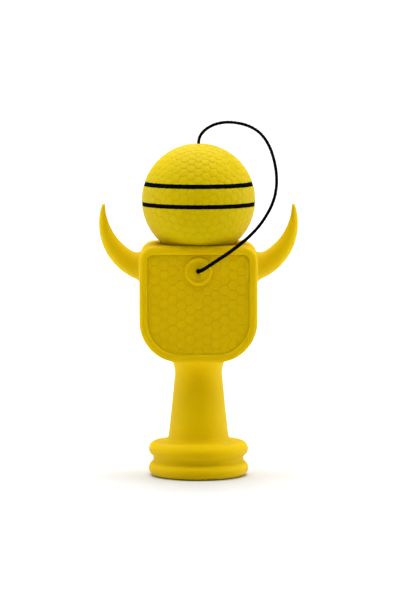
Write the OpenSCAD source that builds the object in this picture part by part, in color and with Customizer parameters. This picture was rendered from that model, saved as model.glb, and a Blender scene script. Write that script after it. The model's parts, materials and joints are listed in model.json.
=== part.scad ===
// Kendama of soft yellow mouldings on a hard core, standing on its base with the ball on the spike.
// Millimetres, +Z up. The origin is the middle of the base's underside and the front faces -Y.

/* [Ball] */
// Diameter of the ball
ball_d = 60.6; // [56:0.1:66]
// Diameter of the hole that takes the spike
spike_hole_d = 21; // [19:0.5:24]
// Width of the bevel round the mouth of that hole
hole_bevel = 1.5; // [0.5:0.1:2.5]
// Width of each black stripe
stripe_w = 2.3; // [1.2:0.1:3]
// Depth of the groove that holds a stripe
stripe_groove = 0.9; // [0.6:0.1:1.5]
// Height of the upper stripe's middle above the middle of the ball
upper_stripe_up = 8.9; // [5:0.1:14]
// How far the lower stripe's middle lies below the middle of the ball
lower_stripe_down = 1.8; // [0:0.1:6]

/* [Torso] */
// Width of the torso block
torso_w = 63; // [58:1:70]
// Height of the torso block
torso_h = 62.3; // [58:0.1:70]
// Thickness of the torso block, front to back
torso_t = 46; // [44:1:54]
// Radius of the two upper corners
top_corner_r = 8; // [6:0.5:12]
// Radius of the two lower corners
bottom_corner_r = 22; // [16:0.5:24]
// Rounding of the front and rear edges
torso_edge_r = 2.4; // [2:0.1:4]
// Diameter of the seat's rim, on which the ball sits
seat_rim_d = 40; // [34:0.5:42]

/* [Panels] */
// Width of the smooth border round a panel
panel_border = 4.6; // [4:0.1:7]
// Depth of the pocket that holds a panel
pocket_depth = 3.4; // [2.8:0.1:5]
// Thickness of a panel's backing
panel_t = 2; // [1.2:0.1:2.4]
// Width of a honeycomb cell across its flats, with its groove
cell_w = 5.3; // [4:0.1:7]
// Width of the groove between two cells
cell_groove = 0.8; // [0.5:0.1:1.5]
// Height of a cell above the backing
cell_h = 0.4; // [0.3:0.1:0.8]

/* [Horns] */
// Height of the middle of a horn's root above the torso's underside
horn_up = 50; // [42:0.5:52]
// Diameter of a horn at its root
horn_root_d = 15.6; // [12:0.1:18]
// How far the tip stands out from the side of the torso
horn_tip_out = 19.4; // [16:0.1:24]
// How far the tip rises above the middle of the root
horn_tip_up = 32.6; // [28:0.1:40]
// Radius of the horn's outer curve
horn_outer_r = 32.2; // [30:0.1:40]
// Radius of the horn's inner curve
horn_inner_r = 30; // [26:0.1:40]
// Diameter of the rounded tip
horn_tip_d = 1.8; // [0.8:0.1:3]
// How far the top of the root flares up to meet the torso
horn_flare = 1.7; // [0.5:0.1:2.5]
// Depth to which a root sits in the side of the torso
horn_collar = 1.6; // [1:0.1:2.5]
// Diameter of the horn's spigot
spigot_d = 9; // [6:0.5:10]
// Length of the spigot behind the collar
spigot_l = 7; // [4:0.5:10]

/* [Handle] */
// Height of the torso's underside above the ground
handle_h = 62.8; // [56:0.1:70]
// Diameter of the base rings
base_d = 53.4; // [51:0.1:58]
// Height of each of the two base rings
base_ring_h = 8.1; // [7.5:0.1:10]
// Height of the gap between the two base rings
base_gap = 2.2; // [1:0.1:4]
// Diameter at the bottom of the groove between the rings
base_groove_d = 48.6; // [46:0.1:50]
// Rounding of the base's bottom edge
base_edge_r = 3.7; // [1.5:0.1:4]
// Diameter of the stem where it meets the base
stem_bottom_d = 32; // [28:0.5:34]
// Diameter of the stem at its waist
stem_waist_d = 25.5; // [23:0.5:28]
// How far the waist lies below the torso
waist_drop = 8; // [6:0.5:12]
// Radius of the curve that flares from the waist up to the torso
flare_r = 17; // [14:0.5:24]
// Radius of the fillet between stem and base
stem_fillet = 4; // [1:0.5:4.5]
// Depth to which the handle sits in the torso
handle_plug = 2; // [1:0.5:4]
// Diameter of the cup's rim under the base
cup_rim_d = 40; // [36:0.5:42]
// Wall left between the cup and the core
cup_wall = 4; // [3:0.5:6]

/* [Core] */
// Diameter of the core rod and of the spike's foot
core_d = 12; // [10:0.5:14]
// Height of the spike above the bottom of the seat
spike_h = 25; // [20:0.5:28]
// Diameter of the spike's round tip
spike_tip_d = 7; // [5:0.5:9]

/* [Cord] */
// Diameter of the cord
cord_d = 1.8; // [1.4:0.1:2.2]
// Depth of the cord's hole below the top of the torso
eyelet_drop = 13.3; // [12.5:0.1:18]
// Diameter of the eyelet's flange
eyelet_d = 14.4; // [10:0.1:15]
// Diameter of the eyelet's barrel
barrel_d = 5; // [4:0.1:7]
// Length of the barrel behind the panel
barrel_l = 6; // [4:0.5:9]
// Diameter of the round lip on the flange
lip_d = 1.6; // [1.2:0.1:2.2]
// Diameter of the stopper knot in the torso
anchor_knot_d = 6; // [4.5:0.1:7]
// Diameter of the knot under the bead
bead_knot_d = 4.6; // [3.6:0.1:6]
// Diameter of the bead in the ball
bead_d = 9; // [7:0.5:10]
// Free height between the spike's tip and the knot under the bead
tip_room = 7.5; // [5:0.5:9]

/* [Fits] */
// Gap round a glued piece, on each side
fit_gap = 0.12; // [0.08:0.01:0.2]
// Gap between the ball and what it sits on
ball_gap = 0.3; // [0.25:0.05:0.5]
// Gap round the cord in its holes, on each side
cord_gap = 0.3; // [0.2:0.05:0.5]

/* [Hidden] */

yellow = [0.93, 0.75, 0.05];
deep_yellow = [0.85, 0.66, 0.03];
black = [0.07, 0.07, 0.07];
round_fn = 64;
hull_fn = 32;
// How far a cut runs past the face that it starts from
over = 1;

// Heights of the pieces above the ground
torso_top = handle_h + torso_h;
torso_mid = handle_h + torso_h / 2;
ball_r = ball_d / 2;
seat_r = ball_r + ball_gap;
ball_z = torso_top + sqrt(seat_r * seat_r - seat_rim_d * seat_rim_d / 4);
seat_bottom = ball_z - seat_r;
ball_top = ball_z + ball_r;
eyelet_z = torso_top - eyelet_drop;
horn_z = handle_h + horn_up;

// The spike, then the knot and the bead above it, in the ball's hole
spike_top = seat_bottom + spike_h;
bead_bottom = spike_top + tip_room + knot_rise(bead_knot_d);
bead_z = bead_bottom + bead_d / 2;
hole_end = bead_z + bead_d / 2 + ball_gap;
cord_hole_d = cord_d + 2 * cord_gap;
spike_hole_r = spike_hole_d / 2;
hole_mouth = ball_z - sqrt(ball_r * ball_r - spike_hole_r * spike_hole_r);

// The cup under the base and the core above it
cup_r = ball_r + ball_gap;
cup_mid = -sqrt(cup_r * cup_r - cup_rim_d * cup_rim_d / 4);
core_bottom = cup_mid + cup_r + cup_wall;
core_r = core_d / 2;

// The handle's outline
base_r = base_d / 2;
base_h = 2 * base_ring_h + base_gap;
ring_round = base_ring_h / 2;
stem_bottom_r = stem_bottom_d / 2;
waist_r = stem_waist_d / 2;
waist_z = handle_h - waist_drop;
plug_r = waist_r + flare_r - sqrt(flare_r * flare_r - waist_drop * waist_drop);

// The panels in their pockets
pocket_floor = torso_t / 2 - pocket_depth;
panel_face = pocket_floor + panel_t;
pocket_w = torso_w - 2 * panel_border;
pocket_h = torso_h - 2 * panel_border;
pocket_top_r = max(top_corner_r - panel_border, torso_edge_r / 2);
pocket_bottom_r = bottom_corner_r - panel_border;
cell_column = cell_w * sqrt(3) / 2;
cell_columns = ceil(pocket_w / 2 / cell_column);
cell_rows = ceil(pocket_h / 2 / cell_w) + 1;

// The eyelet's front face, where the free cord starts
flange_t = torso_t / 2 - panel_face - lip_d / 2;
eyelet_face = panel_face + flange_t;

// Horn: its two edge curves run from the root to the tip, in a plane of x outwards and z upwards
horn_steps = 22;
horn_sides = 24;
horn_flare_l = 3 * horn_flare;
cap_angles = [35, 65];
tip_mid = [horn_tip_out, horn_tip_up];
outer_start = [0, -horn_root_d / 2];
outer_end = tip_mid + [horn_tip_d / 2, 0];
inner_start = [0, horn_root_d / 2 - horn_flare];
inner_end = tip_mid - [horn_tip_d / 2, 0];

// Shape of the free cord, from the eyelet up over the right shoulder to the top of the ball. The heights are
// above the eyelet, and they stretch with the distance between the eyelet and the top of the ball.
cord_shape = [
    [0, -eyelet_face, 0], [0.3, -25.2, 0.2], [2, -28, 1.2], [5, -29.5, 3.2], [9, -30.5, 5.9],
    [13.5, -31, 8.9], [18, -31, 12.1], [22.7, -30.7, 15.7], [27.3, -30, 19.7], [31.8, -28.7, 24.4],
    [36.2, -26.5, 30.6], [39.3, -24.2, 36.8], [41, -21.8, 43], [41.4, -19.2, 49.2], [40.8, -16.5, 55.4],
    [39.6, -14, 60.6], [37.6, -11.5, 65.9], [34.6, -9.2, 70.7], [30.8, -7.3, 74.2], [26, -5.6, 76.6],
    [20.5, -4, 77.9], [15, -2.6, 78.2], [9.8, -1.4, 77.3], [5.4, -0.6, 75.3], [2.2, -0.2, 72.6],
    [0.5, 0, 69.8], [0, 0, 66.8]
];
cord_stretch = (ball_top - eyelet_z) / cord_shape[len(cord_shape) - 1][2];
cord_route = [for (p = cord_shape) [p[0], p[1], eyelet_z + cord_stretch * p[2]]];
rings_per_point = 2;
cord_sides = 8;

// The middle of an arc of radius r from p to q that bends to the right of its way
function arc_mid(p, q, r) =
    let (half = (q - p) / 2, off = sqrt(r * r - half * half) / norm(half))
    p + half + off * [-half[1], half[0]];

// The point at share t along that arc
function arc_point(p, q, r, t) =
    let (
        mid = arc_mid(p, q, r),
        a = atan2(p[1] - mid[1], p[0] - mid[0]),
        b = atan2(q[1] - mid[1], q[0] - mid[0])
    )
    mid + r * [cos(a + t * (b - a)), sin(a + t * (b - a))];

// The horn's inner edge, raised near the root by the flare
function inner_point(t) =
    let (p = arc_point(inner_start, inner_end, horn_inner_r, t))
    p + [0, horn_flare * pow(max(0, 1 - p[0] / horn_flare_l), 2)];

// A ring of points across the line from a low edge point to a high one
function horn_ring(low, high) =
    let (mid = (low + high) / 2, half = (high - low) / 2)
    [
        for (i = [0 : horn_sides - 1])
            let (a = 360 * i / horn_sides)
            [mid[0] + half[0] * cos(a), norm(half) * sin(a), mid[1] + half[1] * cos(a)]
    ];

// A ring of the rounded tip, at an angle up from its last full ring
function cap_ring(a) =
    let (r = horn_tip_d / 2, rise = [0, r * sin(a)])
    horn_ring(outer_end + rise - [r * (1 - cos(a)), 0], inner_end + rise + [r * (1 - cos(a)), 0]);

// Faces of a closed tube of rings that each have the same count of points
function tube_faces(rings, sides) = [
    [for (i = [sides - 1 : -1 : 0]) i],
    for (k = [0 : rings - 2], i = [0 : sides - 1])
        let (a = k * sides, b = a + sides, j = (i + 1) % sides)
        each [[a + i, a + j, b + j], [a + i, b + j, b + i]],
    [for (i = [0 : sides - 1]) (rings - 1) * sides + i]
];

// A point on a smooth curve through the cord's route
function route_point(k, t) =
    let (
        last = len(cord_route) - 1,
        a = cord_route[max(k - 1, 0)],
        b = cord_route[k],
        c = cord_route[min(k + 1, last)],
        d = cord_route[min(k + 2, last)]
    )
    b + t * (c - a) / 2 + t * t * (a - 2.5 * b + 2 * c - d / 2) + t * t * t * (1.5 * (b - c) + (d - a) / 2);

cord_line = [
    for (k = [0 : len(cord_route) - 2], i = [0 : rings_per_point - 1]) route_point(k, i / rings_per_point),
    cord_route[len(cord_route) - 1]
];

// A ring of the cord round point k of its line
function cord_ring(k) =
    let (
        last = len(cord_line) - 1,
        way = k == 0 ? [0, -1, 0] : k == last ? [0, 0, -1] : cord_line[k + 1] - cord_line[k - 1],
        along = way / norm(way),
        side = cross(along, [0.5, 1, -0.5]),
        u = side / norm(side),
        v = cross(along, u)
    )
    [
        for (i = [0 : cord_sides - 1])
            let (a = 360 * i / cord_sides)
            cord_line[k] + cord_d / 2 * (cos(a) * u + sin(a) * v)
    ];

// Lays a piece that is drawn upright along +Z down, so that it points to the front
module to_front(y, z) {
    translate([0, -y, z]) rotate([90, 0, 0]) children();
}

// A flat disc with rounded edges, its axis along Y
module rounded_disc(r, t, edge) {
    rotate([90, 0, 0]) rotate_extrude($fn = hull_fn) union() {
        translate([0, -t / 2]) square([r - edge, t]);
        translate([0, edge - t / 2]) square([r, t - 2 * edge]);
        for (z = [edge - t / 2, t / 2 - edge]) translate([r - edge, z]) circle(edge, $fn = hull_fn);
    }
}

// Outline of a pocket or panel: x across, y up, narrowed all round by inset
module panel_outline(inset) {
    w = pocket_w - 2 * inset;
    h = pocket_h - 2 * inset;
    rt = pocket_top_r - inset;
    rb = pocket_bottom_r - inset;
    union() {
        translate([-w / 2, rb - h / 2]) square([w, h - rb - rt]);
        translate([rt - w / 2, 0]) square([w - 2 * rt, h / 2]);
        translate([rb - w / 2, -h / 2]) square([w - 2 * rb, h / 2]);
        for (s = [-1, 1]) translate([s * (w / 2 - rt), h / 2 - rt]) circle(rt, $fn = round_fn);
        for (s = [-1, 1]) translate([s * (w / 2 - rb), rb - h / 2]) circle(rb, $fn = round_fn);
    }
}

// Whether a cell at p, measured from the middle of the panel, lies on the panel and clear of a round patch
function cell_fits(p, patch_y, patch_r) =
    let (
        x = abs(p[0]) + cell_w / 2,
        y = abs(p[1]) + cell_w / 2,
        past_x = max(0, x + pocket_bottom_r - pocket_w / 2),
        past_y = p[1] < 0 ? max(0, y + pocket_bottom_r - pocket_h / 2) : 0,
        on_panel = x < pocket_w / 2 && y < pocket_h / 2 && norm([past_x, past_y]) < pocket_bottom_r
    )
    on_panel && norm(p - [0, patch_y]) > patch_r;

// A panel drawn flat, its backing on the ground, with no cells on a round patch
module honeycomb_panel(patch_y, patch_r) {
    linear_extrude(panel_t) panel_outline(fit_gap);
    for (c = [-cell_columns : cell_columns], r = [-cell_rows : cell_rows]) {
        p = [c * cell_column, (r + (c % 2 == 0 ? 0 : 0.5)) * cell_w];
        if (cell_fits(p, patch_y, patch_r)) {
            translate([p[0], p[1], panel_t - cell_h])
                cylinder(h = 2 * cell_h, d = (cell_w - cell_groove) / cos(30), $fn = 6);
        }
    }
}

// The right horn, its root at the origin and its tip towards +X and up
module horn() {
    edge = [
        for (k = [0 : horn_steps])
            let (t = k / horn_steps)
            horn_ring(arc_point(outer_start, outer_end, horn_outer_r, t), inner_point(t))
    ];
    collar = horn_ring(outer_start - [horn_collar, 0], -outer_start - [horn_collar, 0]);
    rings = [collar, each edge, for (a = cap_angles) cap_ring(a)];
    union() {
        polyhedron([for (r = rings) each r], tube_faces(len(rings), horn_sides), convexity = 4);
        translate([-horn_collar - spigot_l, 0, 0]) rotate([0, 90, 0])
            cylinder(h = spigot_l + horn_collar, d = spigot_d, $fn = round_fn);
    }
}

// Height of a knot that is flat where its cord goes in
function knot_rise(d) = d * 5 / 6;

// A knot that stands on its flat
module knot(d) {
    rotate_extrude($fn = round_fn) intersection() {
        translate([0, knot_rise(d) - d / 2]) circle(d = d, $fn = round_fn);
        square(d);
    }
}

// A band that follows the ball between two depths under its surface
module ball_band(z, w, outer, inner) {
    translate([0, 0, ball_z]) difference() {
        intersection() {
            translate([0, 0, z - w / 2]) cylinder(h = w, r = outer + over, $fn = round_fn);
            sphere(outer, $fn = round_fn);
        }
        sphere(inner, $fn = round_fn);
    }
}

module spike_core() {
    tip_r = spike_tip_d / 2;
    color("ivory") difference() {
        rotate_extrude($fn = round_fn) union() {
            translate([0, core_bottom]) square([core_r, seat_bottom - core_bottom]);
            polygon([
                [0, seat_bottom - over], [core_r, seat_bottom - over], [core_r, seat_bottom],
                [tip_r, spike_top - tip_r], [0, spike_top - tip_r]
            ]);
            intersection() {
                translate([0, spike_top - tip_r]) circle(tip_r, $fn = round_fn);
                translate([0, spike_top - 2 * tip_r]) square([tip_r, 2 * tip_r]);
            }
        }
        to_front(-core_r - over, eyelet_z) cylinder(h = core_d + 2 * over, d = cord_hole_d, $fn = round_fn);
    }
}

module handle() {
    color(yellow) difference() {
        rotate_extrude($fn = round_fn) difference() {
            union() {
                square([base_r - ring_round, base_h]);
                square([base_r - base_edge_r, ring_round]);
                translate([0, base_edge_r]) square([base_r, ring_round - base_edge_r]);
                translate([base_r - base_edge_r, base_edge_r]) circle(base_edge_r, $fn = round_fn);
                translate([0, ring_round]) square([base_groove_d / 2, base_h - base_ring_h]);
                for (z = [ring_round, base_h - ring_round])
                    translate([base_r - ring_round, z]) circle(ring_round, $fn = round_fn);
                polygon([
                    [0, base_h - over], [stem_bottom_r, base_h - over], [stem_bottom_r, base_h],
                    [waist_r, waist_z], [waist_r, waist_z + over], [0, waist_z + over]
                ]);
                translate([0, base_h - over]) square([stem_bottom_r + stem_fillet, stem_fillet + over]);
                translate([0, waist_z]) square([plug_r, waist_drop + handle_plug]);
            }
            translate([stem_bottom_r + stem_fillet, base_h + stem_fillet])
                circle(stem_fillet, $fn = round_fn);
            difference() {
                translate([waist_r + flare_r, waist_z]) circle(flare_r, $fn = round_fn);
                translate([0, waist_z - 2 * flare_r]) square([2 * flare_r + 2 * waist_r, 2 * flare_r]);
            }
        }
        translate([0, 0, cup_mid]) sphere(cup_r, $fn = round_fn);
        translate([0, 0, core_bottom]) cylinder(h = handle_h, r = core_r + fit_gap, $fn = round_fn);
    }
}

module torso() {
    xt = torso_w / 2 - top_corner_r;
    xb = torso_w / 2 - bottom_corner_r;
    color(yellow) difference() {
        hull() {
            for (s = [-1, 1]) {
                translate([s * xt, 0, torso_top - top_corner_r])
                    rounded_disc(top_corner_r, torso_t, torso_edge_r);
                translate([s * xb, 0, handle_h + bottom_corner_r])
                    rounded_disc(bottom_corner_r, torso_t, torso_edge_r);
            }
        }
        translate([0, 0, ball_z]) sphere(seat_r, $fn = round_fn);
        translate([0, 0, handle_h - over]) cylinder(h = torso_h, r = core_r + fit_gap, $fn = round_fn);
        translate([0, 0, handle_h - over])
            cylinder(h = handle_plug + over, r = plug_r + fit_gap, $fn = round_fn);
        for (turn = [0, 180]) rotate([0, 0, turn]) {
            to_front(pocket_floor, torso_mid) linear_extrude(pocket_depth + over) panel_outline(0);
            translate([torso_w / 2 - horn_collar, 0, horn_z]) rotate([0, 90, 0])
                cylinder(h = horn_collar + over, d = horn_root_d + 2 * fit_gap, $fn = round_fn);
            translate([torso_w / 2 - horn_collar - spigot_l, 0, horn_z]) rotate([0, 90, 0])
                cylinder(h = spigot_l + over, d = spigot_d + 2 * fit_gap, $fn = round_fn);
        }
        to_front(0, eyelet_z) cylinder(h = pocket_floor + over, d = barrel_d + 2 * fit_gap, $fn = round_fn);
        to_front(-pocket_floor - over, eyelet_z)
            cylinder(h = pocket_floor + over, d = anchor_knot_d + 2 * cord_gap, $fn = round_fn);
    }
}

module front_panel() {
    color(deep_yellow) difference() {
        to_front(pocket_floor, torso_mid) honeycomb_panel(eyelet_z - torso_mid, (eyelet_d + cell_w) / 2);
        to_front(0, eyelet_z) cylinder(h = torso_t, d = barrel_d + 2 * fit_gap, $fn = round_fn);
    }
}

module rear_panel() {
    color(deep_yellow) rotate([0, 0, 180]) to_front(pocket_floor, torso_mid) honeycomb_panel(0, 0);
}

module right_horn() {
    color(yellow) translate([torso_w / 2, 0, horn_z]) horn();
}

module left_horn() {
    color(yellow) mirror([1, 0, 0]) translate([torso_w / 2, 0, horn_z]) horn();
}

module cord_eyelet() {
    color(yellow) to_front(panel_face - panel_t - barrel_l, eyelet_z) difference() {
        rotate_extrude($fn = round_fn) union() {
            square([barrel_d / 2, barrel_l + panel_t + flange_t]);
            translate([0, barrel_l + panel_t]) square([(eyelet_d - lip_d) / 2, flange_t]);
            translate([(eyelet_d - lip_d) / 2, barrel_l + panel_t + lip_d / 2])
                circle(d = lip_d, $fn = round_fn);
        }
        translate([0, 0, -over]) cylinder(h = torso_t, d = cord_hole_d, $fn = round_fn);
    }
}

module anchor_cord() {
    color(black) to_front(-core_r - fit_gap, eyelet_z)
        cylinder(h = eyelet_face + core_r + fit_gap, d = cord_d, $fn = round_fn);
}

module anchor_knot() {
    color(black) translate([0, core_r + fit_gap, eyelet_z]) rotate([-90, 0, 0]) knot(anchor_knot_d);
}

module cord() {
    points = [for (k = [0 : len(cord_line) - 1]) each cord_ring(k)];
    color(black) polyhedron(points, tube_faces(len(cord_line), cord_sides), convexity = 10);
}

module bead_cord() {
    color(black) translate([0, 0, bead_bottom])
        cylinder(h = ball_top - bead_bottom, d = cord_d, $fn = round_fn);
}

module bead_knot() {
    color(black) translate([0, 0, bead_bottom]) rotate([180, 0, 0]) knot(bead_knot_d);
}

module bead() {
    color("burlywood") translate([0, 0, bead_z]) difference() {
        sphere(d = bead_d, $fn = round_fn);
        translate([0, 0, -bead_d]) cylinder(h = 2 * bead_d, d = cord_d + 2 * fit_gap, $fn = round_fn);
    }
}

module ball() {
    color(yellow) difference() {
        translate([0, 0, ball_z]) sphere(ball_r, $fn = round_fn);
        translate([0, 0, seat_bottom - over])
            cylinder(h = hole_end - seat_bottom + over, r = spike_hole_r, $fn = round_fn);
        translate([0, 0, hole_mouth - hole_bevel])
            cylinder(2 * hole_bevel, spike_hole_r + 2 * hole_bevel, spike_hole_r, $fn = round_fn);
        translate([0, 0, ball_z]) cylinder(h = ball_d, d = cord_hole_d, $fn = round_fn);
        for (z = [upper_stripe_up, -lower_stripe_down])
            ball_band(z, stripe_w, ball_r + over, ball_r - stripe_groove);
    }
}

module stripe(z) {
    color(black)
        ball_band(z, stripe_w - 2 * fit_gap, ball_r - stripe_groove / 4, ball_r - stripe_groove + fit_gap);
}

module upper_stripe() {
    stripe(upper_stripe_up);
}

module lower_stripe() {
    stripe(-lower_stripe_down);
}

spike_core();
handle();
torso();
front_panel();
rear_panel();
left_horn();
right_horn();
cord_eyelet();
anchor_cord();
anchor_knot();
cord();
bead_cord();
bead_knot();
bead();
ball();
upper_stripe();
lower_stripe();
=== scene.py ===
import json
import math

import bmesh
import bpy
from mathutils import Matrix, Vector


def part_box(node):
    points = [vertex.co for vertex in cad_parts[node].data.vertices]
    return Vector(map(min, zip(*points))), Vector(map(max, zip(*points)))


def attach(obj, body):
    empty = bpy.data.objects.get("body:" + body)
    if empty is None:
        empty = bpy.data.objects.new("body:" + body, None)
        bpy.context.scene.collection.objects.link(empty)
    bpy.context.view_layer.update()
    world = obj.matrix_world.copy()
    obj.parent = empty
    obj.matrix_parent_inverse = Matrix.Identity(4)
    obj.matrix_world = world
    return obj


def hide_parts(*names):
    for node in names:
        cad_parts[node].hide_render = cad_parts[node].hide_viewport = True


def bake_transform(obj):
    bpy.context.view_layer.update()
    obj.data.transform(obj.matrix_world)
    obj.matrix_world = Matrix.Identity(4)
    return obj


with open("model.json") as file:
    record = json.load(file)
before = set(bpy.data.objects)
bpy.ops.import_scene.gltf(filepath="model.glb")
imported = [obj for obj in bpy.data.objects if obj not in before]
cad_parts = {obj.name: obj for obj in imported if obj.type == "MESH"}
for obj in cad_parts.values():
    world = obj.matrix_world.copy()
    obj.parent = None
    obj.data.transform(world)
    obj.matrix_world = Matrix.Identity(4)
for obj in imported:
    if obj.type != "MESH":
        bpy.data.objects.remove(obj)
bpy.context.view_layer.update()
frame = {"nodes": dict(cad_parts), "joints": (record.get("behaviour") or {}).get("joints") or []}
scene = bpy.context.scene
mm = 0.001


# Shared helpers

def toPiece(name, bm, material, smoothAngle=40):
    mesh = bpy.data.meshes.new(name)
    bm.to_mesh(mesh)
    bm.free()
    piece = bpy.data.objects.new(name, mesh)
    scene.collection.objects.link(piece)
    mesh.materials.append(material)
    mesh.shade_smooth()
    mesh.set_sharp_from_angle(angle=math.radians(smoothAngle))
    return piece


def bake(piece, smoothAngle=40):
    graph = bpy.context.evaluated_depsgraph_get()
    baked = bpy.data.meshes.new_from_object(piece.evaluated_get(graph))
    spent = piece.data
    piece.modifiers.clear()
    piece.data = baked
    baked.name = spent.name
    bpy.data.meshes.remove(spent)
    baked.shade_smooth()
    baked.set_sharp_from_angle(angle=math.radians(smoothAngle))


def combine(piece, other, operation):
    cut = piece.modifiers.new("cut", "BOOLEAN")
    cut.operation = operation
    cut.solver = "EXACT"
    cut.object = other
    bake(piece)
    spent = other.data
    bpy.data.objects.remove(other)
    bpy.data.meshes.remove(spent)


def arc(middle, radius, startDeg, endDeg, steps):
    angles = [math.radians(startDeg + (endDeg - startDeg) * k / steps) for k in range(steps + 1)]
    return [(middle[0] + radius * math.cos(a), middle[1] + radius * math.sin(a)) for a in angles]


def spun(profile, steps, closed=True):
    bm = bmesh.new()
    verts = [bm.verts.new((r, 0, z)) for r, z in profile]
    edges = [bm.edges.new(pair) for pair in zip(verts, verts[1:])]
    if closed:
        edges.append(bm.edges.new((verts[-1], verts[0])))
    bmesh.ops.spin(bm, geom=verts + edges, cent=(0, 0, 0), axis=(0, 0, 1), dvec=(0, 0, 0),
                   angle=math.tau, steps=steps, use_merge=True)
    bmesh.ops.remove_doubles(bm, verts=bm.verts, dist=0.002 * mm)
    bmesh.ops.recalc_face_normals(bm, faces=bm.faces)
    return bm


def smoothStep(low, high, value):
    t = min(1, max(0, (value - low) / (high - low)))
    return t * t * (3 - 2 * t)


def seat(piece, body, slot, *nodes):
    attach(piece, body)
    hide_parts(*nodes)


# Materials

def softMaterial(name, look):
    made = bpy.data.materials.new(name)
    made.use_nodes = True
    nodes, links = made.node_tree.nodes, made.node_tree.links
    shader = nodes["Principled BSDF"]
    place = nodes.new("ShaderNodeTexCoord")
    mottle = nodes.new("ShaderNodeTexNoise")
    mottle.inputs["Scale"].default_value = look["mottleScale"]
    mottle.inputs["Detail"].default_value = 4
    links.new(place.outputs["Object"], mottle.inputs["Vector"])
    tint = nodes.new("ShaderNodeMix")
    tint.data_type = "RGBA"
    low, high = (tuple(c * share for c in look["colour"]) for share in look["tintRange"])
    tint.inputs["A"].default_value = (*low, 1)
    tint.inputs["B"].default_value = (*high, 1)
    links.new(mottle.outputs["Fac"], tint.inputs["Factor"])
    links.new(tint.outputs["Result"], shader.inputs["Base Color"])
    rough = nodes.new("ShaderNodeMapRange")
    rough.inputs["To Min"].default_value, rough.inputs["To Max"].default_value = look["roughness"]
    links.new(mottle.outputs["Fac"], rough.inputs["Value"])
    links.new(rough.outputs["Result"], shader.inputs["Roughness"])
    grain = nodes.new("ShaderNodeTexNoise")
    grain.inputs["Scale"].default_value = look["grainScale"]
    grain.inputs["Detail"].default_value = 3
    links.new(place.outputs["Object"], grain.inputs["Vector"])
    bump = nodes.new("ShaderNodeBump")
    bump.inputs["Strength"].default_value = look["grainStrength"]
    bump.inputs["Distance"].default_value = look["grainDepth"]
    links.new(grain.outputs["Fac"], bump.inputs["Height"])
    links.new(bump.outputs["Normal"], shader.inputs["Normal"])
    shader.inputs["Specular IOR Level"].default_value = look["specular"]
    shader.inputs["Specular Tint"].default_value = (*look["shine"], 1)
    shader.inputs["Subsurface Weight"].default_value = look["glow"]
    shader.inputs["Subsurface Radius"].default_value = (1, 0.5, 0.05)  # red goes deepest
    shader.inputs["Subsurface Scale"].default_value = look["glowDepth"]
    return made


bodyLook = {"colour": (0.72, 0.49, 0.0005), "tintRange": (0.96, 1.03), "roughness": (0.58, 0.70),
            "mottleScale": 70, "grainScale": 2600, "grainStrength": 0.12, "grainDepth": 0.05 * mm,
            "specular": 0.22, "shine": (1, 0.78, 0.04), "glow": 0.35, "glowDepth": 3 * mm}
bodyYellow = softMaterial("soft yellow", bodyLook)
blockYellow = softMaterial("block yellow", bodyLook | {"colour": (0.64, 0.436, 0.0005)})
ballYellow = softMaterial("ball yellow", bodyLook | {"colour": (0.54, 0.402, 0.0005)})
panelYellow = softMaterial("panel yellow", bodyLook | {"colour": (0.60, 0.405, 0.0005)})
hardYellow = softMaterial("core plastic", bodyLook | {"colour": (0.80, 0.50, 0.006), "roughness": (0.3, 0.4),
                                                       "glow": 0, "specular": 0.5})
blackLook = {"colour": (0.001, 0.001, 0.001), "tintRange": (0.8, 1.3), "roughness": (0.8, 0.95),
             "mottleScale": 300, "grainScale": 3000, "grainStrength": 0.15, "grainDepth": 0.05 * mm,
             "specular": 0.015, "shine": (1, 1, 1), "glow": 0, "glowDepth": 1 * mm}
stripeBlack = softMaterial("stripe black", blackLook)
cordBlack = softMaterial("cord black", blackLook | {"grainScale": 9000})
beadWood = softMaterial("bead wood", blackLook | {"colour": (0.42, 0.26, 0.12), "mottleScale": 500,
                                                  "roughness": (0.5, 0.65), "specular": 0.3})


# Camera

cameraPlace = {"at": (1.07 * mm, -2.060, 0.290), "pitchDeg": 5.43, "lens": 230.9, "sensor": 36}
cameraData = bpy.data.cameras.new("camera")
cameraData.lens = cameraPlace["lens"]
cameraData.sensor_width = cameraPlace["sensor"]
cameraData.clip_end = 20
camera = bpy.data.objects.new("camera", cameraData)
camera.location = cameraPlace["at"]
camera.rotation_euler = (math.radians(90 - cameraPlace["pitchDeg"]), 0, 0)
scene.collection.objects.link(camera)
scene.camera = camera
print("camera set")


# Cord, on the same route as the CAD cord

cordRoute = [
    (0, -0.0222, 0.1118), (0.0003, -0.0252, 0.1120), (0.0020, -0.0280, 0.1130), (0.0050, -0.0295, 0.1150),
    (0.0090, -0.0305, 0.1177), (0.0135, -0.0310, 0.1207), (0.0180, -0.0310, 0.1239),
    (0.0227, -0.0307, 0.1275), (0.0273, -0.0300, 0.1315), (0.0318, -0.0287, 0.1362),
    (0.0362, -0.0265, 0.1424), (0.0393, -0.0242, 0.1486), (0.0410, -0.0218, 0.1548),
    (0.0414, -0.0192, 0.1610), (0.0408, -0.0165, 0.1672), (0.0396, -0.0140, 0.1724),
    (0.0376, -0.0115, 0.1777), (0.0346, -0.0092, 0.1825), (0.0308, -0.0073, 0.1860),
    (0.0260, -0.0056, 0.1884), (0.0205, -0.0040, 0.1897), (0.0150, -0.0026, 0.1900),
    (0.0098, -0.0014, 0.1891), (0.0054, -0.0006, 0.1871), (0.0022, -0.0002, 0.1844),
    (0.0005, 0, 0.1816), (0, 0, 0.1786),
]
cordLook = {"diameter": 1.8 * mm, "strand": 0.3 * mm, "weave": 0.08 * mm, "turn": 8 * mm,
            "pairs": 4, "step": 0.28 * mm, "core": 0.5 * mm, "swell": 0.25, "swellEnd": (0.22, 0.31)}


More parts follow.
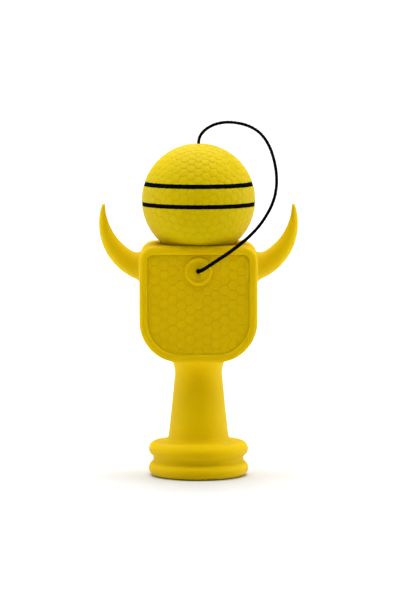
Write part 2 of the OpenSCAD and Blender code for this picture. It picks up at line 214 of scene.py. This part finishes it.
def smoothRoute(points, step):
    guide = bpy.data.curves.new("guide", "CURVE")
    guide.dimensions = "3D"
    guide.resolution_u = 16
    spline = guide.splines.new("BEZIER")
    spline.bezier_points.add(len(points) - 1)
    for knot, point in zip(spline.bezier_points, points):
        knot.co = point
        knot.handle_left_type = knot.handle_right_type = "AUTO"
    holder = bpy.data.objects.new("guide", guide)
    scene.collection.objects.link(holder)
    graph = bpy.context.evaluated_depsgraph_get()
    line = holder.evaluated_get(graph).to_mesh()
    dense = [v.co.copy() for v in line.vertices]
    holder.evaluated_get(graph).to_mesh_clear()
    bpy.data.objects.remove(holder)
    bpy.data.curves.remove(guide)
    run = [0]
    for a, b in zip(dense, dense[1:]):
        run.append(run[-1] + (b - a).length)
    count = round(run[-1] / step)
    even, k = [], 0
    for n in range(count + 1):
        goal = run[-1] * n / count
        while k < len(run) - 2 and run[k + 1] < goal:
            k += 1
        even.append(dense[k].lerp(dense[k + 1], (goal - run[k]) / (run[k + 1] - run[k])))
    return even, run[-1]


def strandCurve(name, lines, radius, material):
    data = bpy.data.curves.new(name, "CURVE")
    data.dimensions = "3D"
    data.bevel_depth = radius
    data.bevel_resolution = 1
    data.use_fill_caps = True
    for line in lines:
        spline = data.splines.new("POLY")
        spline.points.add(len(line) - 1)
        for knot, point in zip(spline.points, line):
            knot.co = (*point, 1)
    holder = bpy.data.objects.new(name, data)
    scene.collection.objects.link(holder)
    graph = bpy.context.evaluated_depsgraph_get()
    mesh = bpy.data.meshes.new_from_object(holder.evaluated_get(graph))
    bpy.data.objects.remove(holder)
    bpy.data.curves.remove(data)
    mesh.materials.clear()
    mesh.materials.append(material)
    mesh.shade_smooth()
    piece = bpy.data.objects.new(name, mesh)
    scene.collection.objects.link(piece)
    return piece


def braidLines(route, look):
    radius = look["diameter"] / 2 - look["strand"] - look["weave"]
    tangents = [(b - a).normalized() for a, b in zip([route[0]] + route[:-1], route[1:] + [route[-1]])]
    side = tangents[0].orthogonal().normalized()
    sides = []
    for tangent in tangents:
        side = (side - tangent * side.dot(tangent)).normalized()
        sides.append(side)
    lines = []
    for way in (1, -1):
        for k in range(look["pairs"]):
            line = []
            for n, (point, tangent, side) in enumerate(zip(route, tangents, sides)):
                share = n * look["step"] / look["turn"]
                angle = math.tau * (k / look["pairs"] + way * share)
                reach = radius + way * look["weave"] * math.cos(math.tau * look["pairs"] * share)
                reach *= 1 + look["swell"] * (1 - smoothStep(*look["swellEnd"], n / len(route)))
                line.append(point + Matrix.Rotation(angle, 3, tangent) @ side * reach)
            lines.append(line)
    return lines


route, cordLength = smoothRoute(cordRoute, cordLook["step"])
cord = strandCurve("cordBraid", braidLines(route, cordLook), cordLook["strand"], cordBlack)
cordCore = strandCurve("cordCore", [route], cordLook["core"], cordBlack)
with bpy.context.temp_override(active_object=cord, selected_editable_objects=[cord, cordCore]):
    bpy.ops.object.join()
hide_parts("cord")
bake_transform(cord)
print("cord made, length", round(cordLength, 4))


# Ball: a geodesic honeycomb whose cells are raised pads, with two stripe grooves and the spike hole

ballLow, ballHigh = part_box("ball")
ballSpin = next(joint for joint in frame["joints"] if joint["name"] == "ball_spin")
ballMid = Vector(ballSpin["pos_m"])
ballRadius = (ballHigh.x - ballLow.x) / 2
stripes = {name: (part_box(name)[0].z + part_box(name)[1].z) / 2 - ballMid.z
           for name in ("upper_stripe", "lower_stripe")}
ballLook = {"splits": 4, "tilt": 23.4, "proud": 0.11 * mm, "relief": 0.26 * mm,
            "rings": ((0.08 * mm, 1), (0.22 * mm, 0.5), (0.3 * mm, 0.15), (0.4 * mm, 0.03)),
            "stripeGap": 2.3 * mm, "stripeDepth": 0.9 * mm, "boreRadius": 10.5 * mm,
            "boreBevel": 1.5 * mm, "boreTop": 15 * mm, "cordHole": 1.2 * mm, "cordBevel": 0.5 * mm,
            "cordHoleDepth": 5 * mm, "plainTop": (2.5 * mm, 5 * mm), "plainBottom": (18 * mm, 26 * mm)}


def honeycombSphere(look):
    padRadius = ballRadius + look["proud"]
    bm = bmesh.new()
    bmesh.ops.create_icosphere(bm, subdivisions=look["splits"], radius=ballRadius)
    corners = [v.co.normalized() for v in bm.verts if len(v.link_edges) == 5]
    high = max((c for c in corners if c.z < 0.9), key=lambda c: (round(c.z, 3), c.x))
    low = min((c for c in corners if -0.9 < c.z < 0), key=lambda c: (round((c - high).length, 3), c.y))
    toBack, toTop = -(high + low).normalized(), (high - low).normalized()
    turn = Matrix((toBack.cross(toTop), toBack, toTop)).to_4x4()
    turn = Matrix.Rotation(math.radians(-look["tilt"]), 4, "X") @ turn
    bmesh.ops.transform(bm, matrix=turn, verts=bm.verts)
    oldVerts, oldEdges = bm.verts[:], bm.edges[:]
    bmesh.ops.poke(bm, faces=bm.faces)
    bmesh.ops.rotate_edges(bm, edges=oldEdges)
    bmesh.ops.dissolve_verts(bm, verts=oldVerts)
    bmesh.ops.subdivide_edges(bm, edges=bm.edges[:], cuts=1)
    for v in bm.verts:
        v.co = v.co.normalized() * (padRadius - look["relief"])
    cells = bm.faces[:]
    for inward, down in look["rings"]:
        bmesh.ops.inset_individual(bm, faces=cells, thickness=inward, use_even_offset=True)
        tops = {v for cell in cells for v in cell.verts}
        for v in tops:
            v.co = v.co.normalized() * (padRadius - look["relief"] * down)
    for v in bmesh.ops.poke(bm, faces=cells)["verts"]:
        v.co = v.co.normalized() * padRadius
    return bm


def plainPoles(piece, look):
    for v in piece.data.vertices:
        reach = math.hypot(v.co.x, v.co.y)
        near, far = look["plainTop"] if v.co.z > 0 else look["plainBottom"]
        share = smoothStep(near, far, reach)
        v.co = v.co.normalized() * (ballRadius + (v.co.length - ballRadius) * share)


def cutLoop(bm, height, normalUp, clear):
    cut = bmesh.ops.bisect_plane(bm, geom=bm.verts[:] + bm.edges[:] + bm.faces[:], dist=0.001 * mm,
                                 plane_co=(0, 0, height), plane_no=(0, 0, 1 if normalUp else -1),
                                 clear_outer=clear)
    return [e for e in cut["geom_cut"] if isinstance(e, bmesh.types.BMEdge)]


def stepLoop(bm, edges, scale, lift):
    grown = bmesh.ops.extrude_edge_only(bm, edges=edges)["geom"]
    verts = [v for v in grown if isinstance(v, bmesh.types.BMVert)]
    bmesh.ops.scale(bm, vec=(scale, scale, 1), verts=verts)
    bmesh.ops.translate(bm, vec=(0, 0, lift), verts=verts)
    return [e for e in grown if isinstance(e, bmesh.types.BMEdge)]


def makeBall(look):
    ball = toPiece("ballShell", honeycombSphere(look), ballYellow)
    plainPoles(ball, look)
    bm = bmesh.new()
    bm.from_mesh(ball.data)
    wide = look["boreRadius"] + look["boreBevel"]
    rim = cutLoop(bm, -math.sqrt(ballRadius ** 2 - wide ** 2), False, True)
    neck = stepLoop(bm, rim, look["boreRadius"] / wide, look["boreBevel"])
    neckZ = neck[0].verts[0].co.z
    deep = stepLoop(bm, neck, 1, look["boreTop"] - neckZ)
    bmesh.ops.contextual_create(bm, geom=deep)
    small = look["cordHole"] + look["cordBevel"]
    rim = cutLoop(bm, math.sqrt(ballRadius ** 2 - small ** 2), True, True)
    neck = stepLoop(bm, rim, look["cordHole"] / small, -look["cordBevel"])
    deep = stepLoop(bm, neck, 1, -look["cordHoleDepth"])
    bmesh.ops.contextual_create(bm, geom=deep)
    for height in stripes.values():
        half = look["stripeGap"] / 2
        cutLoop(bm, height + half, True, False)
        cutLoop(bm, height - half, True, False)
        band = [f for f in bm.faces if abs(f.calc_center_median().z - height) < half
                and f.calc_center_median().length > ballRadius * 0.9]
        inside = bmesh.ops.extrude_face_region(bm, geom=band)["geom"]
        bmesh.ops.delete(bm, geom=band, context="FACES")
        for v in (g for g in inside if isinstance(g, bmesh.types.BMVert)):
            reach = math.hypot(v.co.x, v.co.y)
            floor = math.sqrt(ballRadius ** 2 - height ** 2) - look["stripeDepth"]
            v.co.x, v.co.y = v.co.x * floor / reach, v.co.y * floor / reach
    bmesh.ops.recalc_face_normals(bm, faces=bm.faces)
    bmesh.ops.translate(bm, vec=ballMid, verts=bm.verts)
    bm.to_mesh(ball.data)
    bm.free()
    ball.data.shade_smooth()
    ball.data.set_sharp_from_angle(angle=math.radians(50))
    return ball


ball = makeBall(ballLook)
seat(ball, "ball", "soft_yellow", "ball")
print("ball made,", len(ball.data.polygons), "faces")


# Stripes: rubber bands with rounded edges, pressed into the ball's grooves

stripeLook = {"width": 2.6 * mm, "sunk": 0.06 * mm, "thick": 0.78 * mm, "edge": 0.15 * mm, "steps": 128}


def makeStripe(name, height, look):
    lowZ, highZ = height - look["width"] / 2, height + look["width"] / 2
    edge = look["edge"]
    lowR, highR = (math.sqrt(ballRadius ** 2 - z ** 2) - look["sunk"] for z in (lowZ, highZ))
    floor = math.sqrt(ballRadius ** 2 - height ** 2) - look["thick"]
    profile = [(floor, lowZ), *arc((lowR - edge, lowZ + edge), edge, -90, 0, 4)]
    profile += [*arc((highR - edge, highZ - edge), edge, 0, 90, 4), (floor, highZ)]
    bm = spun(profile, look["steps"])
    bmesh.ops.translate(bm, vec=ballMid, verts=bm.verts)
    return toPiece(name + "_band", bm, stripeBlack, 50)


for name, height in stripes.items():
    seat(makeStripe(name, height, stripeLook), "ball", "stripe_black", name)
print("stripes made")


# Torso: the rounded block with a raised rim round each panel and the seat for the ball

torsoLow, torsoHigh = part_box("torso")
torsoLook = {"topCorner": 8 * mm, "bottomCorner": 22 * mm, "edge": 2.4 * mm, "rimFlat": 0.9 * mm,
             "rimRound": ((0.4 * mm, 0.05 * mm), (0.35 * mm, 0.15 * mm), (0.3 * mm, 0.32 * mm),
                          (0.25 * mm, 0.5 * mm)),
             "pocket": 3.4 * mm, "seatGap": 0.3 * mm, "seatEdge": 0.7 * mm}


def makeTorso(look):
    bm = bmesh.new()
    bmesh.ops.create_cube(bm, size=1)
    bmesh.ops.scale(bm, vec=torsoHigh - torsoLow, verts=bm.verts)
    bmesh.ops.translate(bm, vec=(torsoHigh + torsoLow) / 2, verts=bm.verts)
    middle = (torsoHigh.z + torsoLow.z) / 2
    for corner, above in (("topCorner", True), ("bottomCorner", False)):
        edges = [e for e in bm.edges if abs(e.verts[0].co.y - e.verts[1].co.y) > 1 * mm
                 and (e.verts[0].co.z > middle) == above
                 and abs(abs(e.verts[0].co.x) - torsoHigh.x) < 0.01 * mm
                 and min(abs(e.verts[0].co.z - torsoHigh.z), abs(e.verts[0].co.z - torsoLow.z)) < 0.01 * mm]
        bmesh.ops.bevel(bm, geom=edges, offset=look[corner], offset_type="OFFSET", affect="EDGES",
                        segments=14, profile=0.5, material=-1, clamp_overlap=True)
    faces = [f for f in bm.faces if abs(f.normal.y) > 0.99]
    outline = list({e for f in faces for e in f.edges})
    bmesh.ops.bevel(bm, geom=outline, offset=look["edge"], offset_type="OFFSET", affect="EDGES",
                    segments=8, profile=0.5, material=-1, clamp_overlap=True)
    faces = sorted((f for f in bm.faces if abs(f.normal.y) > 0.99), key=lambda f: -f.calc_area())[:2]
    for face in faces:
        bmesh.ops.inset_region(bm, faces=[face], thickness=look["rimFlat"], use_even_offset=True)
        for inward, down in look["rimRound"]:
            bmesh.ops.inset_region(bm, faces=[face], thickness=inward, depth=-down, use_even_offset=True)
        done = sum(down for inward, down in look["rimRound"])
        inward = -face.normal * (look["pocket"] - done)
        sunk = bmesh.ops.extrude_face_region(bm, geom=[face])["geom"]
        bmesh.ops.translate(bm, vec=inward, verts=[v for v in sunk if isinstance(v, bmesh.types.BMVert)])
        bmesh.ops.delete(bm, geom=[face], context="FACES_ONLY")
    bmesh.ops.recalc_face_normals(bm, faces=bm.faces)
    torso = toPiece("torsoBlock", bm, blockYellow)
    cutter = bmesh.new()
    bmesh.ops.create_uvsphere(cutter, u_segments=128, v_segments=64, radius=ballRadius + look["seatGap"])
    bmesh.ops.translate(cutter, vec=ballMid, verts=cutter.verts)
    combine(torso, toPiece("seat cutter", cutter, blockYellow), "DIFFERENCE")
    bm = bmesh.new()
    bm.from_mesh(torso.data)
    onSeat = {v for v in bm.verts if abs((v.co - ballMid).length - ballRadius - look["seatGap"]) < 0.03 * mm}
    rim = [e for e in bm.edges if e.verts[0] in onSeat and e.verts[1] in onSeat
           and any(v not in onSeat for f in e.link_faces for v in f.verts)]
    bmesh.ops.bevel(bm, geom=rim, offset=look["seatEdge"], offset_type="OFFSET", affect="EDGES",
                    segments=3, profile=0.5, material=-1, clamp_overlap=True)
    bm.to_mesh(torso.data)
    bm.free()
    torso.data.shade_smooth()
    torso.data.set_sharp_from_angle(angle=math.radians(35))
    return torso


torso = makeTorso(torsoLook)
seat(torso, "ken", "soft_yellow", "torso")
print("torso made,", len(torso.data.polygons), "faces")


# Horns: rings between an outer and an inner arc, flared into the torso at the root

hornLook = {"rootZ": 112.8 * mm, "root": 15.6 * mm, "tipOut": 19.4 * mm, "tipUp": 32.6 * mm,
            "outer": 32.2 * mm, "inner": 30 * mm, "tip": 1.8 * mm, "flare": 1.7 * mm,
            "flareRun": 5.1 * mm, "underFlare": 0.85 * mm, "underRun": 3.4 * mm, "steps": 40, "sides": 40,
            "crowding": 1.25, "tipRings": ((0.45, 0.9), (0.35, 0.62), (0.16, 0.3)), "bury": 1.2 * mm}


def arcThrough(start, end, radius, share):
    start, end = Vector(start), Vector(end)
    chord = end - start
    left = Vector((-chord.y, chord.x)).normalized()
    middle = (start + end) / 2 + left * math.sqrt(radius ** 2 - (chord.length / 2) ** 2)
    a = math.atan2(*(start - middle).yx)
    b = math.atan2(*(end - middle).yx)
    b += math.tau if b < a else 0
    angle = a + (b - a) * share
    return middle + radius * Vector((math.cos(angle), math.sin(angle)))


def hornRing(look, share):
    tip = Vector((look["tipOut"], look["tipUp"]))
    blunt = Vector((look["tip"] / 2, 0))
    outer = arcThrough((0, -look["root"] / 2), tip + blunt, look["outer"], share)
    inner = arcThrough((0, look["root"] / 2 - look["flare"]), tip - blunt, look["inner"], share)
    inner.y += look["flare"] * max(0, 1 - inner.x / look["flareRun"]) ** 2
    outer.y -= look["underFlare"] * max(0, 1 - outer.x / look["underRun"]) ** 2
    middle, across = (outer + inner) / 2, (inner - outer)
    radius = across.length / 2
    across.normalize()
    rootPlace = Vector((torsoHigh.x, 0, look["rootZ"]))
    u = Vector((across.x, 0, across.y))
    v = Vector((0, 1, 0))
    place = Matrix((u, v, u.cross(v))).transposed().to_4x4()
    place.translation = rootPlace + Vector((middle.x, 0, middle.y))
    return place @ Matrix.Diagonal((radius, radius, radius, 1))


def makeHorn(look):
    bm = bmesh.new()
    first = hornRing(look, 0)
    buried = Matrix.Translation((-look["bury"], 0, 0)) @ first
    bmesh.ops.create_circle(bm, cap_ends=True, segments=look["sides"], radius=1, matrix=buried)
    edges, last = bm.edges[:], buried
    for k in range(look["steps"] + 1):
        ring = hornRing(look, (k / look["steps"]) ** look["crowding"])
        grown = bmesh.ops.extrude_edge_only(bm, edges=edges)["geom"]
        verts = [g for g in grown if isinstance(g, bmesh.types.BMVert)]
        bmesh.ops.transform(bm, matrix=ring @ last.inverted(), verts=verts)
        edges, last = [g for g in grown if isinstance(g, bmesh.types.BMEdge)], ring
    for lift, width in look["tipRings"]:
        grown = bmesh.ops.extrude_edge_only(bm, edges=edges)["geom"]
        verts = [g for g in grown if isinstance(g, bmesh.types.BMVert)]
        rise = Matrix.Translation((0, 0, lift * look["tip"] / 2))
        shrink = last @ Matrix.Diagonal((width, width, 1, 1)) @ last.inverted()
        bmesh.ops.transform(bm, matrix=rise @ shrink, verts=verts)
        last = rise @ last
        edges = [g for g in grown if isinstance(g, bmesh.types.BMEdge)]
    bmesh.ops.contextual_create(bm, geom=edges)
    bmesh.ops.recalc_face_normals(bm, faces=bm.faces)
    return bm


for name, mirrored in (("right_horn", False), ("left_horn", True)):
    bm = makeHorn(hornLook)
    if mirrored:
        bmesh.ops.scale(bm, vec=(-1, 1, 1), verts=bm.verts)
        bmesh.ops.reverse_faces(bm, faces=bm.faces)
    seat(toPiece(name + "_skin", bm, blockYellow, 50), "ken", "soft_yellow", name)
print("horns made")


# Handle: tapered stem, double-ring base and the cup under it, turned as one

handleLook = {"baseRadius": 26.7, "ring": 4.05, "baseTop": 18.4, "bottomEdge": 3.7, "grooveRadius": 24.3,
              "cove": 1.2, "ringStart": 6, "stemBottom": 16, "stemFillet": 4, "filletEnd": 186,
              "waistRadius": 12.75, "waistZ": 54.8, "stemBow": 1.06, "flare": 17, "topZ": 63.1,
              "plugTop": 64.8, "cupRadius": 30.6, "cupMid": -23.16, "cupTrim": 1.5,
              "cupLip": ((0.36, 0.12), (0.84, 0)), "steps": 128}


def handleProfile(look):
    base, ring = look["baseRadius"], look["ring"]
    edge, baseTop = look["bottomEdge"], look["baseTop"]
    cupEnd = math.degrees(math.asin(-look["cupMid"] / look["cupRadius"]))
    profile = arc((0, look["cupMid"]), look["cupRadius"], 90, cupEnd + look["cupTrim"], 16)
    cupRim = profile[-1][0]
    profile += [(cupRim + out, up) for out, up in look["cupLip"]]
    profile += arc((base - edge, edge), edge, -90, 0, 8)
    cove, coveX = look["cove"], look["grooveRadius"] + look["cove"]
    coveUp = math.sqrt((ring + cove) ** 2 - (coveX - base + ring) ** 2)
    meet = math.degrees(math.atan2(coveUp, coveX - base + ring))
    profile += arc((base - ring, ring), ring, look["ringStart"], meet, 8)
    profile += arc((coveX, ring + coveUp), cove, 180 + meet, 180, 4)[1:]
    profile += arc((coveX, baseTop - ring - coveUp), cove, 180, 180 - meet, 4)
    profile += arc((base - ring, baseTop - ring), ring, -meet, 90, 18)[1:]
    fillet, taper = look["stemFillet"], look["stemBottom"] - look["waistRadius"]
    stemLow = baseTop + fillet
    profile += arc((look["stemBottom"] + fillet, stemLow), fillet, 270, look["filletEnd"], 8)
    profile += [(look["waistRadius"] + taper * (1 - k / 8) ** look["stemBow"],
                 stemLow + (look["waistZ"] - stemLow) * k / 8) for k in range(1, 8)]
    flareEnd = math.degrees(math.asin((look["topZ"] - look["waistZ"]) / look["flare"]))
    flareMid = (look["waistRadius"] + look["flare"], look["waistZ"])
    profile += arc(flareMid, look["flare"], 180, 180 - flareEnd, 12)
    profile += [(profile[-1][0], look["plugTop"]), (0, look["plugTop"])]
    return [(r * mm, z * mm) for r, z in profile]


handle = toPiece("handleShell", spun(handleProfile(handleLook), handleLook["steps"], False), bodyYellow, 40)
seat(handle, "ken", "soft_yellow", "handle")
print("handle made")


# Panels: honeycomb inlays with dimpled pads, cut to the pocket's outline

eyeletLow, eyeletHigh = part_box("cord_eyelet")
panelLook = {"cell": 5.3 * mm, "relief": 0.29 * mm,
             "rings": ((0.16 * mm, 0.02), (0.2 * mm, 0.7), (0.25 * mm, 0.97), (0.75 * mm, 1),
                       (0.4 * mm, 0.9)),
             "dimple": 0.12 * mm, "thick": 2 * mm, "topCorner": 3.3 * mm, "bottomCorner": 17.3 * mm,
             "eyeletFlat": (8.7 * mm, 9.3 * mm), "barrel": 2.6 * mm}


def honeycombSlab(look, width, height, eyeletUp):
    bm = bmesh.new()
    corner = look["cell"] / math.sqrt(3)
    columns, rows = round(width / corner / 3) + 1, round(height / look["cell"] / 2) + 1
    for i in range(-columns, columns + 1):
        for j in range(-rows, rows + 1):
            spot = Matrix.Translation((1.5 * corner * i, look["cell"] * (j + (i % 2) / 2), 0))
            bmesh.ops.create_circle(bm, cap_ends=True, segments=6, radius=corner,
                                    matrix=spot @ Matrix.Rotation(math.radians(30), 4, "Z"))
    bmesh.ops.remove_doubles(bm, verts=bm.verts, dist=0.05 * mm)
    bmesh.ops.subdivide_edges(bm, edges=bm.edges[:], cuts=2)
    cells = bm.faces[:]
    for inward, level in look["rings"]:
        bmesh.ops.inset_individual(bm, faces=cells, thickness=inward, use_even_offset=True)
        tops = {v for cell in cells for v in cell.verts}
        for v in tops:
            v.co.z = look["relief"] * level
    for v in bmesh.ops.poke(bm, faces=cells)["verts"]:
        v.co.z = look["relief"] - look["dimple"]
    if eyeletUp is not None:
        for v in bm.verts:
            reach = math.hypot(v.co.x, v.co.y - eyeletUp)
            v.co.z *= smoothStep(*look["eyeletFlat"], reach)
    return bm


def makePanel(name, look, front):
    low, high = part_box(name)
    width, height = high.x - low.x, high.z - low.z
    eyeletUp = (eyeletLow.z + eyeletHigh.z) / 2 - (low.z + high.z) / 2 if front else None
    panel = toPiece(name + "_inlay", honeycombSlab(look, width, height, eyeletUp), panelYellow)
    smooth = panel.modifiers.new("smooth", "SUBSURF")
    smooth.levels = smooth.render_levels = 1
    bake(panel)
    bm = bmesh.new()
    bm.from_mesh(panel.data)
    border = [e for e in bm.edges if e.is_boundary]
    grown = bmesh.ops.extrude_edge_only(bm, edges=border)["geom"]
    for v in (g for g in grown if isinstance(g, bmesh.types.BMVert)):
        v.co.z = -look["thick"]
    bmesh.ops.contextual_create(bm, geom=[g for g in grown if isinstance(g, bmesh.types.BMEdge)])
    bmesh.ops.recalc_face_normals(bm, faces=bm.faces)
    bm.to_mesh(panel.data)
    bm.free()
    block = bmesh.new()
    bmesh.ops.create_cube(block, size=1)
    bmesh.ops.scale(block, vec=(width, height, 4 * look["thick"]), verts=block.verts)
    for corner, above in (("topCorner", True), ("bottomCorner", False)):
        edges = [e for e in block.edges if abs(e.verts[0].co.z - e.verts[1].co.z) > 1 * mm
                 and (e.verts[0].co.y > 0) == above
                 and abs(abs(e.verts[0].co.x) - width / 2) < 0.01 * mm
                 and abs(abs(e.verts[0].co.y) - height / 2) < 0.01 * mm]
        bmesh.ops.bevel(block, geom=edges, offset=look[corner], offset_type="OFFSET", affect="EDGES",
                        segments=14, profile=0.5, material=-1, clamp_overlap=True)
    combine(panel, toPiece("panel cutter", block, panelYellow), "INTERSECT")
    if front:
        drill = bmesh.new()
        bmesh.ops.create_cone(drill, cap_ends=True, segments=48, radius1=look["barrel"],
                              radius2=look["barrel"], depth=8 * look["thick"],
                              matrix=Matrix.Translation((0, eyeletUp, 0)))
        combine(panel, toPiece("drill", drill, panelYellow), "DIFFERENCE")
    facing = Matrix.Rotation(math.radians(90), 4, "X")
    if not front:
        facing = Matrix.Rotation(math.radians(180), 4, "Z") @ facing
    face = low.y if front else high.y
    inward = 1 if front else -1
    place = Matrix.Translation((0, face + inward * look["relief"], (low.z + high.z) / 2))
    panel.data.transform(place @ facing)
    return panel


for name, front in (("front_panel", True), ("rear_panel", False)):
    panel = makePanel(name, panelLook, front)
    seat(panel, "ken", "panel_rubber", name)
    print(name, "made,", len(panel.data.polygons), "faces")


# Eyelet: a turned ring with a rolled lip and a dished middle round the cord's hole

eyeletLook = {"lipRadius": 6.5, "lip": 1.0, "lipFoot": ((1.2, 0.08), (1.5, 0)), "disc": 1.1, "dish": 0.6,
              "hole": 1.35, "holeRound": 0.35, "deep": 4, "steps": 96}


def eyeletProfile(look):
    lip, disc = look["lip"], -look["disc"]
    profile = [(look["lipRadius"] + lip, -look["deep"])]
    profile += arc((look["lipRadius"], -lip), lip, 0, 150, 12)
    profile += [(look["lipRadius"] - inward, disc + up) for inward, up in look["lipFoot"]]
    middle = disc - look["dish"]
    hole, soft = look["hole"], look["holeRound"]
    profile += arc((hole + soft, middle - soft), soft, 80, 180, 5)
    profile += [(hole, -look["deep"])]
    return [(r * mm, z * mm) for r, z in profile]


bm = spun(eyeletProfile(eyeletLook), eyeletLook["steps"])
eyeletPlace = Matrix.Translation((0, eyeletLow.y, (eyeletLow.z + eyeletHigh.z) / 2))
bmesh.ops.transform(bm, matrix=eyeletPlace @ Matrix.Rotation(math.radians(90), 4, "X"), verts=bm.verts)
seat(toPiece("eyeletRing", bm, blockYellow, 50), "ken", "soft_yellow", "cord_eyelet")
print("eyelet made")


# CAD nodes that stay as they are, with a finish of their own

for name, material in (("spike_core", hardYellow), ("anchor_cord", cordBlack), ("anchor_knot", cordBlack),
                       ("bead_cord", cordBlack), ("bead_knot", cordBlack), ("bead", beadWood)):
    node = frame["nodes"][name]
    node.data.materials.clear()
    node.data.materials.append(material)
    node.data.shade_smooth()
    node.data.set_sharp_from_angle(angle=math.radians(40))


# Floor, light and sky

# The floor carries a painted shadow: its colour is darker near the object (near grey) and lifts to the far
# grey over the given distances.
stageLook = {"half": 30, "paintedShadowGrey": (0.6, 0.88), "paintedShadowFade": (0.08, 0.26), "roughness": 0.9}


def makeFloor(look):
    bm = bmesh.new()
    bmesh.ops.create_grid(bm, x_segments=8, y_segments=8, size=look["half"])
    paperWithPaintedShadow = bpy.data.materials.new("paperWithPaintedShadow")
    paperWithPaintedShadow.use_nodes = True
    nodes, links = paperWithPaintedShadow.node_tree.nodes, paperWithPaintedShadow.node_tree.links
    # Painted shadow: the floor colour is darker round the object's foot, ramped by distance from the
    # object's origin.
    place = nodes.new("ShaderNodeTexCoord")
    reach = nodes.new("ShaderNodeVectorMath")
    reach.operation = "LENGTH"
    links.new(place.outputs["Object"], reach.inputs[0])
    paintedShadowFade = nodes.new("ShaderNodeMapRange")
    paintedShadowFade.inputs["From Min"].default_value, paintedShadowFade.inputs["From Max"].default_value = look["paintedShadowFade"]
    paintedShadowFade.inputs["To Min"].default_value, paintedShadowFade.inputs["To Max"].default_value = look["paintedShadowGrey"]
    links.new(reach.outputs["Value"], paintedShadowFade.inputs["Value"])
    links.new(paintedShadowFade.outputs["Result"], nodes["Principled BSDF"].inputs["Base Color"])
    nodes["Principled BSDF"].inputs["Roughness"].default_value = look["roughness"]
    return toPiece("floor", bm, paperWithPaintedShadow, 60)


makeFloor(stageLook)

lightLook = {"top": 4.4, "topAngle": 62, "rear": 11, "rearPlace": (0, 0.9, 1.3), "rearSize": 1.2,
             "left": 4.4, "right": 6.0, "sideSize": 0.8, "sidePlace": (1.0, 0.15, 0.35),
             "sideTarget": (0, 0, 0.1), "sky": 0.05, "horizon": 1.0, "horizonBand": (0.04, 0.1)}


def addLight(name, kind, watts, place, target):
    data = bpy.data.lights.new(name, kind)
    data.energy = watts
    light = bpy.data.objects.new(name, data)
    light.location = place
    light.rotation_euler = (Vector(target) - Vector(place)).to_track_quat("-Z", "Y").to_euler()
    scene.collection.objects.link(light)
    return data


def makeLights(look):
    addLight("top", "SUN", look["top"], (0, 0, 2), (0, 0, 0)).angle = math.radians(look["topAngle"])
    addLight("rear", "AREA", look["rear"], look["rearPlace"], look["sideTarget"]).size = look["rearSize"]
    x, y, z = look["sidePlace"]
    for name, side in (("left", -1), ("right", 1)):
        addLight(name, "AREA", look[name], (side * x, y, z), look["sideTarget"]).size = look["sideSize"]


def makeSky(look):
    sky = bpy.data.worlds.new("sky")
    sky.use_nodes = True
    nodes, links = sky.node_tree.nodes, sky.node_tree.links
    place = nodes.new("ShaderNodeTexCoord")
    split = nodes.new("ShaderNodeSeparateXYZ")
    links.new(place.outputs["Generated"], split.inputs["Vector"])
    band = nodes.new("ShaderNodeMapRange")
    band.inputs["From Min"].default_value, band.inputs["From Max"].default_value = look["horizonBand"]
    band.inputs["To Min"].default_value = look["horizon"]
    band.inputs["To Max"].default_value = look["sky"]
    links.new(split.outputs["Z"], band.inputs["Value"])
    links.new(band.outputs["Result"], nodes["Background"].inputs["Strength"])
    nodes["Background"].inputs["Color"].default_value = (1, 1, 1, 1)
    return sky


makeLights(lightLook)
scene.world = makeSky(lightLook)
scene.view_settings.view_transform = "Standard"
print("stage and light made")
